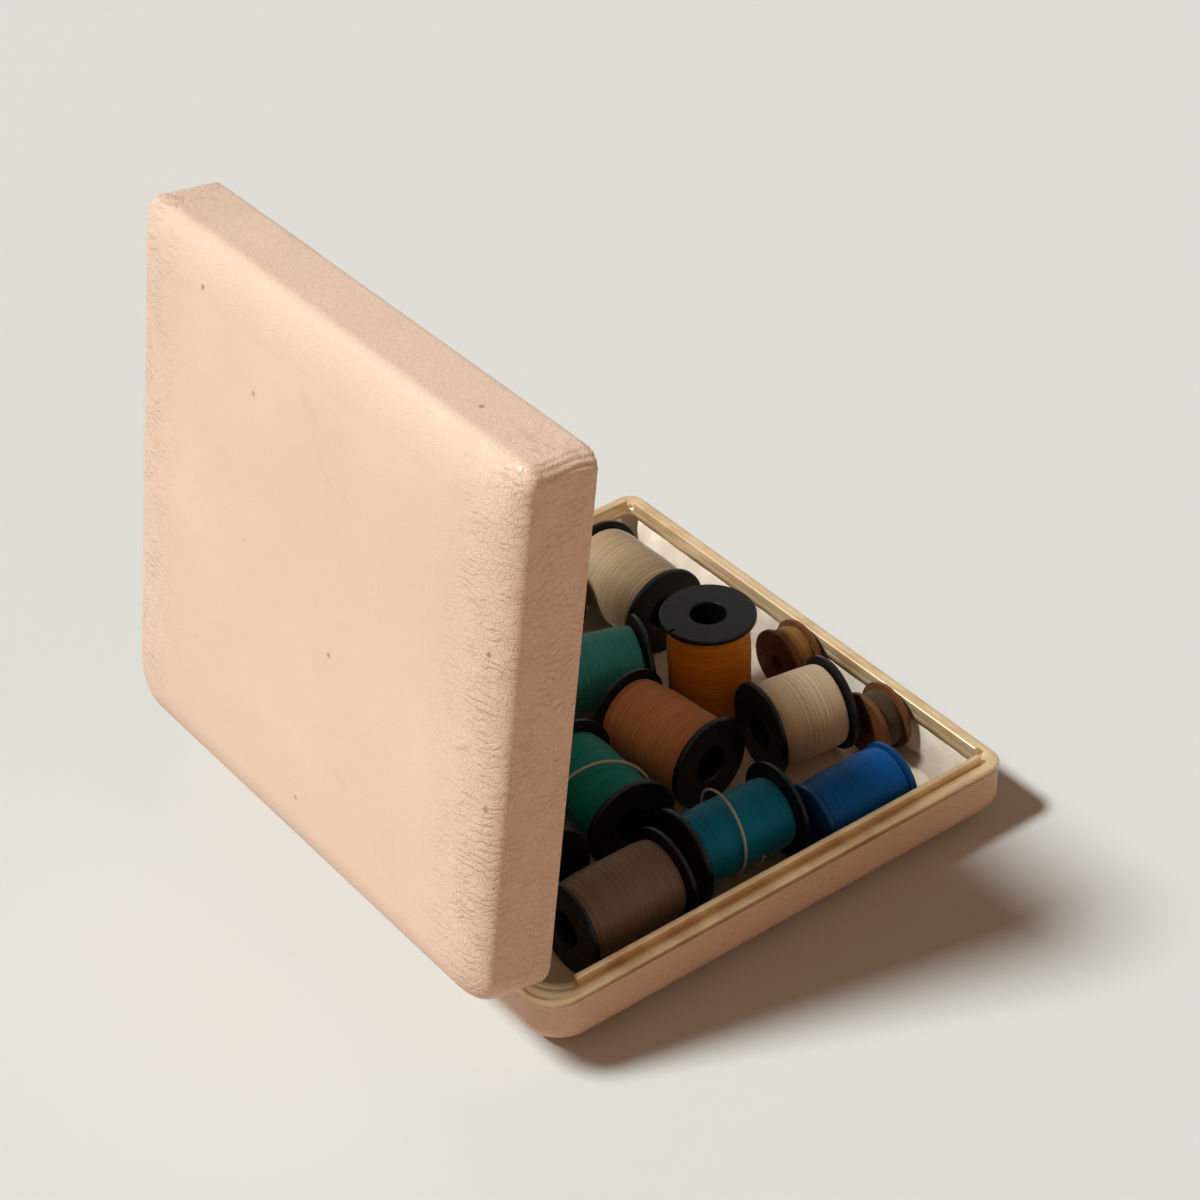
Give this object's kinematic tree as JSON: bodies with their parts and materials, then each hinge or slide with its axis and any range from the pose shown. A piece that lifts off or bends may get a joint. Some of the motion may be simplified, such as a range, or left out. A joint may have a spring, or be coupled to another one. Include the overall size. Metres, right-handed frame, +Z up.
{
  "type": "bobbin box",
  "caption": "Hinged padded case, leatherette outside and satin inside, with metal rims, holding thread spools and small reels.",
  "frame": {"origin": "centre of the base's flat bottom", "axes": "+Z up, +Y towards the hinge, +X along the hinge pin"},
  "size_m": [0.11, 0.1147, 0.1181],
  "materials": {
    "leatherette": "satin",
    "gilt": "satin",
    "board": "matte",
    "satin": "satin",
    "spool_black": "gloss",
    "spool_clear": "gloss",
    "reel_plastic": "gloss",
    "thread_cream": "satin",
    "thread_amber": "satin",
    "thread_teal": "satin",
    "thread_copper": "satin",
    "thread_green": "satin",
    "thread_lagoon": "satin",
    "thread_taupe": "satin",
    "thread_white": "satin",
    "thread_blue": "satin",
    "thread_brown": "satin",
    "thread_umber": "satin",
    "thread_rose": "satin",
    "thread_navy": "satin",
    "thread_olive": "satin",
    "thread_black": "satin",
    "thread_plum": "satin",
    "loose_thread": "matte"
  },
  "bodies": {
    "base": {"bottom_panel": "leatherette", "base_cover": "leatherette", "base_core": "board", "base_rim": "gilt", "base_floor_pad": "satin", "base_lining_front": "satin", "base_lining_back": "satin", "base_lining_left": "satin", "base_lining_right": "satin", "base_hinge_leaf": "gilt", "hinge_pin": "gilt"},
    "lid": {"lid_cover": "leatherette", "lid_core": "board", "lid_rim": "gilt", "lid_ceiling_pad": "satin", "lid_lining_front": "satin", "lid_lining_back": "satin", "lid_lining_left": "satin", "lid_lining_right": "satin", "lid_hinge_leaf": "gilt"},
    "spool_cream": {"spool_cream": "spool_black", "thread_cream": "thread_cream"},
    "spool_amber": {"spool_amber": "spool_black", "thread_amber": "thread_amber"},
    "spool_teal": {"spool_teal": "spool_black", "thread_teal": "thread_teal"},
    "spool_copper": {"spool_copper": "spool_black", "thread_copper": "thread_copper"},
    "spool_green": {"spool_green": "spool_black", "thread_green": "thread_green", "loose_thread_green": "loose_thread"},
    "spool_lagoon": {"spool_lagoon": "spool_black", "thread_lagoon": "thread_lagoon", "loose_thread_lagoon": "loose_thread"},
    "spool_taupe": {"spool_taupe": "spool_black", "thread_taupe": "thread_taupe"},
    "spool_white": {"spool_white": "spool_black", "thread_white": "thread_white"},
    "spool_blue": {"spool_blue": "spool_clear", "thread_blue": "thread_blue"},
    "reel_brown": {"reel_brown": "reel_plastic", "thread_brown": "thread_brown"},
    "reel_umber": {"reel_umber": "reel_plastic", "thread_umber": "thread_umber"},
    "spool_rose": {"spool_rose": "spool_black", "thread_rose": "thread_rose"},
    "spool_navy": {"spool_navy": "spool_black", "thread_navy": "thread_navy"},
    "spool_olive": {"spool_olive": "spool_black", "thread_olive": "thread_olive"},
    "spool_black": {"spool_black": "spool_black", "thread_black": "thread_black"},
    "spool_plum": {"spool_plum": "spool_black", "thread_plum": "thread_plum"}
  },
  "joints": [
    {"name": "lid_hinge", "type": "hinge", "parent": "base", "child": "lid", "pos_m": [0, 0.0521, 0.0153], "axis": [1, 0, 0], "range_deg": [-14, 81]},
    {"name": "lift_cream", "type": "slide", "parent": "base", "child": "spool_cream", "axis": [0, 0, 1], "range_m": [0, 0.03]},
    {"name": "lift_amber", "type": "slide", "parent": "base", "child": "spool_amber", "axis": [0, 0, 1], "range_m": [0, 0.03]},
    {"name": "lift_teal", "type": "slide", "parent": "base", "child": "spool_teal", "axis": [0, 0, 1], "range_m": [0, 0.03]},
    {"name": "lift_copper", "type": "slide", "parent": "base", "child": "spool_copper", "axis": [0, 0, 1], "range_m": [0, 0.03]},
    {"name": "lift_green", "type": "slide", "parent": "base", "child": "spool_green", "axis": [0, 0, 1], "range_m": [0, 0.03]},
    {"name": "lift_lagoon", "type": "slide", "parent": "base", "child": "spool_lagoon", "axis": [0, 0, 1], "range_m": [0, 0.03]},
    {"name": "lift_taupe", "type": "slide", "parent": "base", "child": "spool_taupe", "axis": [0, 0, 1], "range_m": [0, 0.03]},
    {"name": "lift_white", "type": "slide", "parent": "base", "child": "spool_white", "axis": [0, 0, 1], "range_m": [0, 0.03]},
    {"name": "lift_blue", "type": "slide", "parent": "base", "child": "spool_blue", "axis": [0, 0, 1], "range_m": [0, 0.03]},
    {"name": "lift_brown", "type": "slide", "parent": "base", "child": "reel_brown", "axis": [0, 0, 1], "range_m": [0, 0.03]},
    {"name": "lift_umber", "type": "slide", "parent": "base", "child": "reel_umber", "axis": [0, 0, 1], "range_m": [0, 0.03]},
    {"name": "lift_rose", "type": "slide", "parent": "base", "child": "spool_rose", "axis": [0, 0, 1], "range_m": [0, 0.03]},
    {"name": "lift_navy", "type": "slide", "parent": "base", "child": "spool_navy", "axis": [0, 0, 1], "range_m": [0, 0.03]},
    {"name": "lift_olive", "type": "slide", "parent": "base", "child": "spool_olive", "axis": [0, 0, 1], "range_m": [0, 0.03]},
    {"name": "lift_black", "type": "slide", "parent": "base", "child": "spool_black", "axis": [0, 0, 1], "range_m": [0, 0.03]},
    {"name": "lift_plum", "type": "slide", "parent": "base", "child": "spool_plum", "axis": [0, 0, 1], "range_m": [0, 0.03]}
  ]
}
